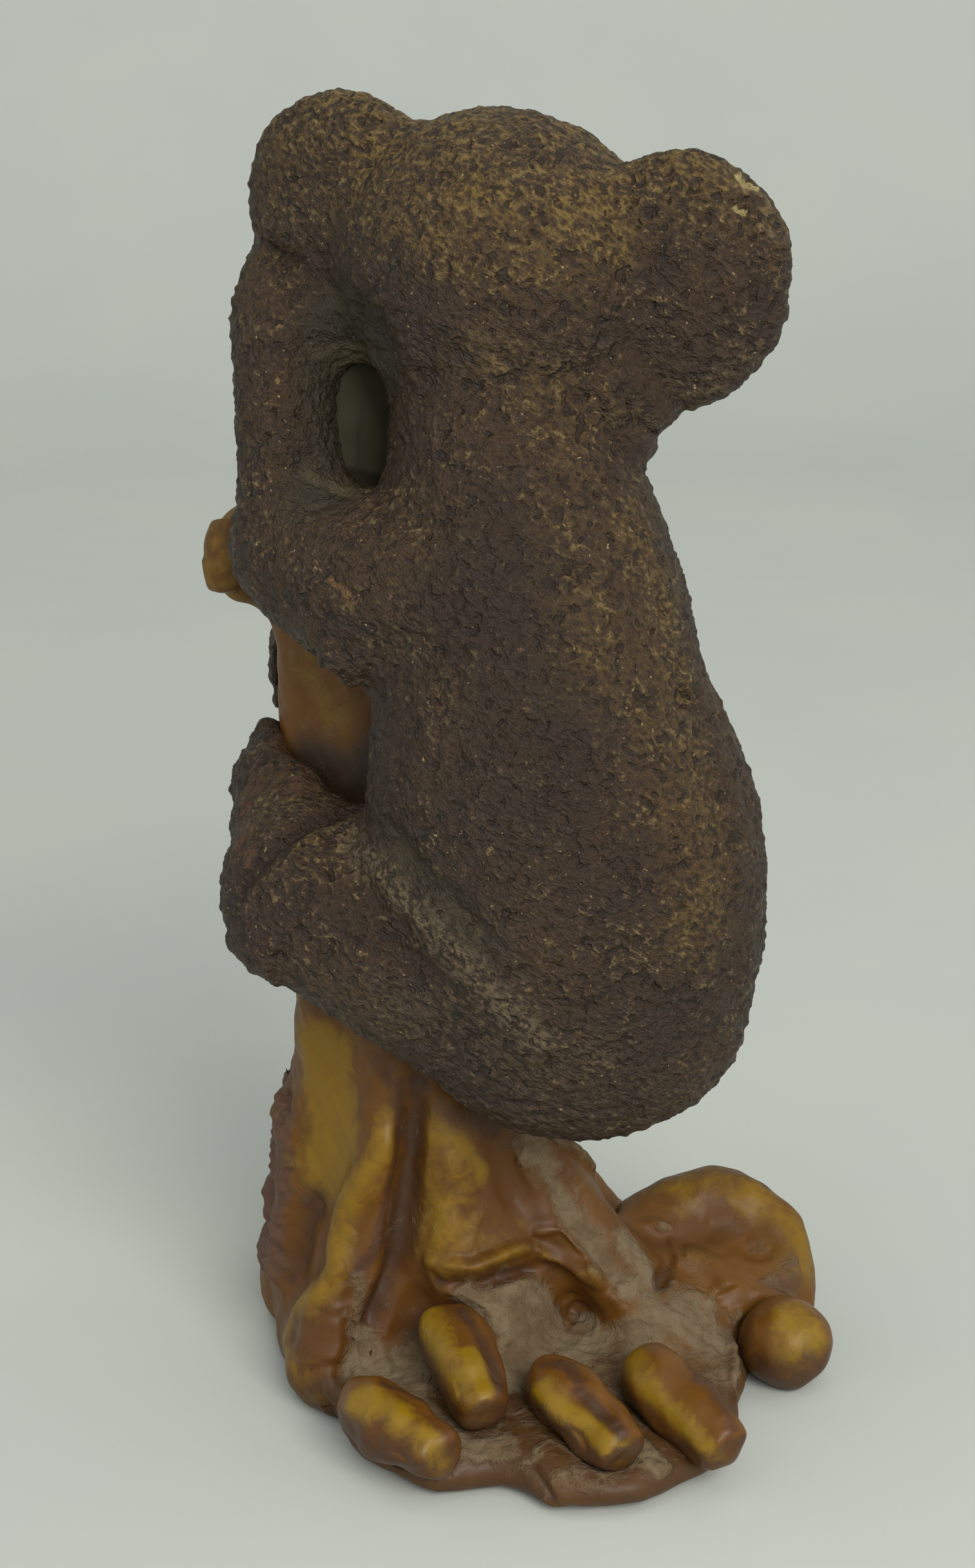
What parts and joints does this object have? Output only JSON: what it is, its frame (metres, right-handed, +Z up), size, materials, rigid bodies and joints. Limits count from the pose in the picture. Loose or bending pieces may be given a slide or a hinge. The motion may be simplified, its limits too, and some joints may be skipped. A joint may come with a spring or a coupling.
{
  "type": "koala figurine",
  "caption": "Cast-resin shelf figurine of a koala clinging to a gum-tree stump, on a low irregular plinth with roots, a burl and gumnuts; it stands on its flat underside.",
  "frame": {"origin": "middle of the plinth's flat underside", "axes": "+Z up; +Y the way the koala faces, so that the picture looks along +Y at its back; +X to the right in the picture, which is the koala's own right"},
  "size_m": [0.0617, 0.0577, 0.1266],
  "materials": {
    "fur": "dark brown stippled resin with golden dry-brushing under a thin satin varnish",
    "amber": "honey-amber resin with a red-brown wash, satin",
    "honey": "bright honey resin with red-brown ends, satin gloss",
    "bark": "rough brown resin, matte",
    "ground": "brown resin with grey dust in the hollows, matte",
    "gloss": "glossy black paint"
  },
  "bodies": {
    "root": {"plinth": "ground", "trunk": "amber", "bark_slab": "bark", "branch_stub": "amber", "root_left": "amber", "root_side": "amber", "root_front": "amber", "root_right": "amber", "root_far_left": "amber", "root_far_right": "amber", "root_burl": "amber", "root_knuckle": "amber", "gumnut_1": "honey", "gumnut_2": "honey", "gumnut_3": "honey", "gumnut_4": "honey", "gum_bud": "honey", "torso": "fur", "head": "fur", "ear_left": "fur", "ear_right": "fur", "nose": "gloss", "eye_left": "gloss", "eye_right": "gloss", "upper_arm_left": "fur", "upper_arm_right": "fur", "forearm_left": "fur", "forearm_right": "fur", "hand_left": "fur", "hand_right": "fur", "thigh_left": "fur", "thigh_right": "fur", "lower_leg_left": "fur", "lower_leg_right": "fur"}
  },
  "joints": []
}
